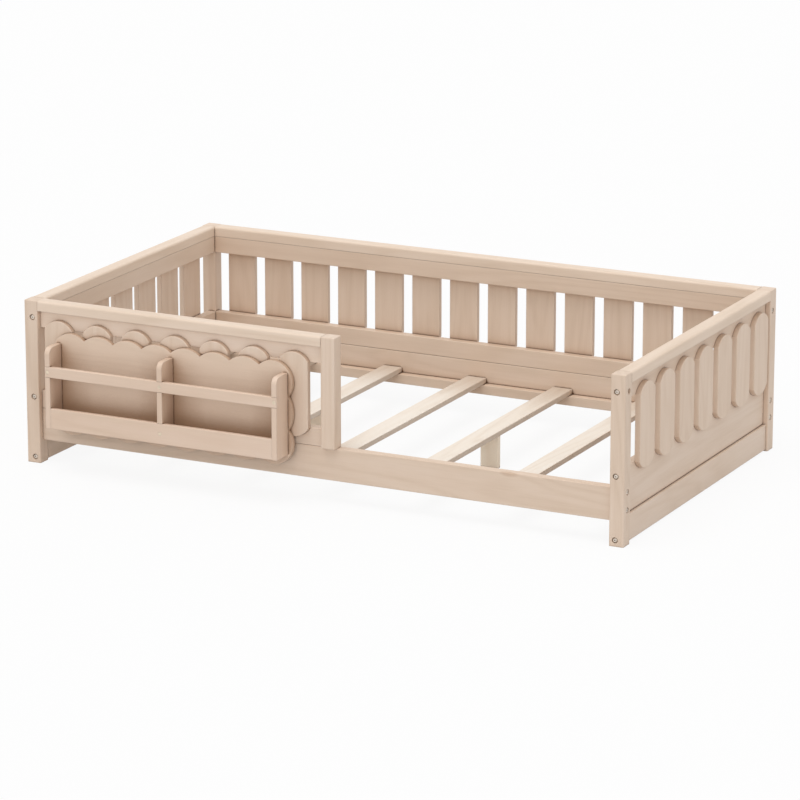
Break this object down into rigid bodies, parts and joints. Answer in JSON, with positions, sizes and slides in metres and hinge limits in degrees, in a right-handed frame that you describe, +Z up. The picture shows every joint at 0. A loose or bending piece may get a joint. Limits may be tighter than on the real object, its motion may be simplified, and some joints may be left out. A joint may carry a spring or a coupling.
{
  "type": "toddler floor bed",
  "caption": "Low wooden toddler bed with picket-panel sides, a half-length guard with a scalloped bookshelf outside it, and an open slatted deck.",
  "frame": {"origin": "on the floor, at the middle of the bed's bounding box, bookshelf included", "axes": "+X along the bed toward the end without a guard, +Y from the open front to the back, +Z up"},
  "size_m": [1.4, 0.875, 0.36],
  "materials": {
    "frame_wood": "satin clear coat over a pale wash",
    "shelf_wood": "satin clear coat over a pale wash",
    "slat_wood": "bare sanded",
    "dowel_wood": "bare",
    "bolt_steel": "zinc plated",
    "insert_zinc": "zinc plated",
    "screw_steel": "nickel plated"
  },
  "bodies": {
    "root": {"back_cap": "frame_wood", "back_ledger": "frame_wood", "back_lower_board": "frame_wood", "back_pickets": "frame_wood", "back_rail": "frame_wood", "back_upper_board": "frame_wood", "dowels": "dowel_wood", "frame_bolts": "bolt_steel", "front_ledger": "frame_wood", "front_rail": "frame_wood", "guard_cap": "frame_wood", "guard_lower_board": "frame_wood", "guard_pickets": "frame_wood", "guard_post": "frame_wood", "guard_upper_board": "frame_wood", "insert_nuts": "insert_zinc", "left_cap": "frame_wood", "left_foot_rail": "frame_wood", "left_lower_board": "frame_wood", "left_picket_1": "frame_wood", "left_picket_2": "frame_wood", "left_picket_3": "frame_wood", "left_picket_4": "frame_wood", "left_picket_5": "frame_wood", "left_picket_6": "frame_wood", "left_picket_7": "frame_wood", "left_upper_board": "frame_wood", "post_back_left": "frame_wood", "post_back_right": "frame_wood", "post_front_left": "frame_wood", "post_front_right": "frame_wood", "right_cap": "frame_wood", "right_foot_rail": "frame_wood", "right_lower_board": "frame_wood", "right_picket_1": "frame_wood", "right_picket_2": "frame_wood", "right_picket_3": "frame_wood", "right_picket_4": "frame_wood", "right_picket_5": "frame_wood", "right_picket_6": "frame_wood", "right_picket_7": "frame_wood", "right_upper_board": "frame_wood", "shelf_back_board": "shelf_wood", "shelf_bottom_bar": "shelf_wood", "shelf_bottom_board": "shelf_wood", "shelf_divider_left": "shelf_wood", "shelf_divider_middle": "shelf_wood", "shelf_divider_right": "shelf_wood", "shelf_top_bar": "shelf_wood", "slat_1": "slat_wood", "slat_2": "slat_wood", "slat_3": "slat_wood", "slat_4": "slat_wood", "slat_5": "slat_wood", "slat_6": "slat_wood", "slat_7": "slat_wood", "support_leg_left": "slat_wood", "support_leg_right": "slat_wood", "wood_screws": "screw_steel"}
  },
  "joints": []
}
